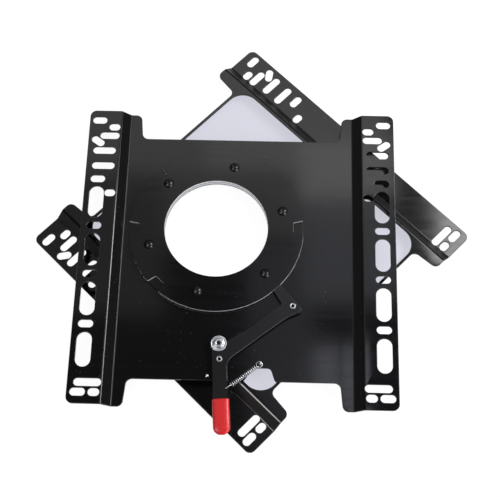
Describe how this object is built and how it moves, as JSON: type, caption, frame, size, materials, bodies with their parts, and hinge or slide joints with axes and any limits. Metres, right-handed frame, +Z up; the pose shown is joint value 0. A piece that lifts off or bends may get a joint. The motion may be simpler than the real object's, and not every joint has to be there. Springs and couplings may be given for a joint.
{
  "type": "swivel seat base",
  "caption": "Swivel base for a vehicle seat: pressed steel plates with slotted side flanges turn on a clamped ring with an open middle, locked by a sprung hand lever.",
  "frame": {"origin": "on the swivel axis, at the underside of the lower plate's web, which is the lower end of the middle hole", "axes": "+Z up along the swivel axis; the lower plate lies square to X and Y, +Y towards its head edge, +X towards its wider side; the upper plate is stored turned 46.4 degrees clockwise from it, seen from above"},
  "size_m": [0.5976, 0.5977, 0.032],
  "materials": {
    "plate_paint": "semi-gloss black paint over sheet steel",
    "ring_paint": "satin black paint over steel plate, rim worn bright",
    "lever_paint": "satin black paint over steel plate",
    "hub_steel": "zinc plated, turned",
    "slide_plastic": "black slide plastic",
    "black_screw": "black oxide on hardened steel",
    "zinc_nut": "zinc plated",
    "zinc_bolt": "bright zinc plated",
    "spring_steel": "bright drawn wire",
    "grip_vinyl": "dipped red vinyl, semi-gloss"
  },
  "bodies": {
    "base": {"lower_plate": "plate_paint", "lower_slide_washer": "slide_plastic", "hub_ring": "hub_steel", "upper_slide_washer": "slide_plastic", "lock_ring": "ring_paint", "ring_screw_1": "black_screw", "ring_screw_2": "black_screw", "ring_screw_3": "black_screw", "ring_screw_4": "black_screw", "ring_screw_5": "black_screw", "ring_screw_6": "black_screw", "ring_nut_1": "zinc_nut", "ring_nut_2": "zinc_nut", "ring_nut_3": "zinc_nut", "ring_nut_4": "zinc_nut", "ring_nut_5": "zinc_nut", "ring_nut_6": "zinc_nut"},
    "seat": {"upper_plate": "plate_paint", "pivot_boss": "zinc_nut", "pivot_bolt": "zinc_bolt", "stop_pin": "zinc_bolt", "spring_anchor": "zinc_bolt", "lever_spring": "spring_steel"},
    "lever": {"lock_lever": "lever_paint", "lever_grip": "grip_vinyl", "handle_rivet": "zinc_bolt", "nose_rivet": "zinc_bolt"}
  },
  "joints": [
    {"name": "seat_swivel", "type": "hinge", "parent": "base", "child": "seat", "pos_m": [0, 0, 0], "axis": [0, 0, 1], "continuous": true},
    {"name": "lever_pull", "type": "hinge", "parent": "seat", "child": "lever", "pos_m": [-0.11294, -0.12067, 0.0121], "axis": [0, 0, -1], "range_deg": [0, 5.2], "stiffness_Nm_per_rad": 1.7, "springref_deg": -26.93, "deforming": ["lever_spring"]}
  ]
}
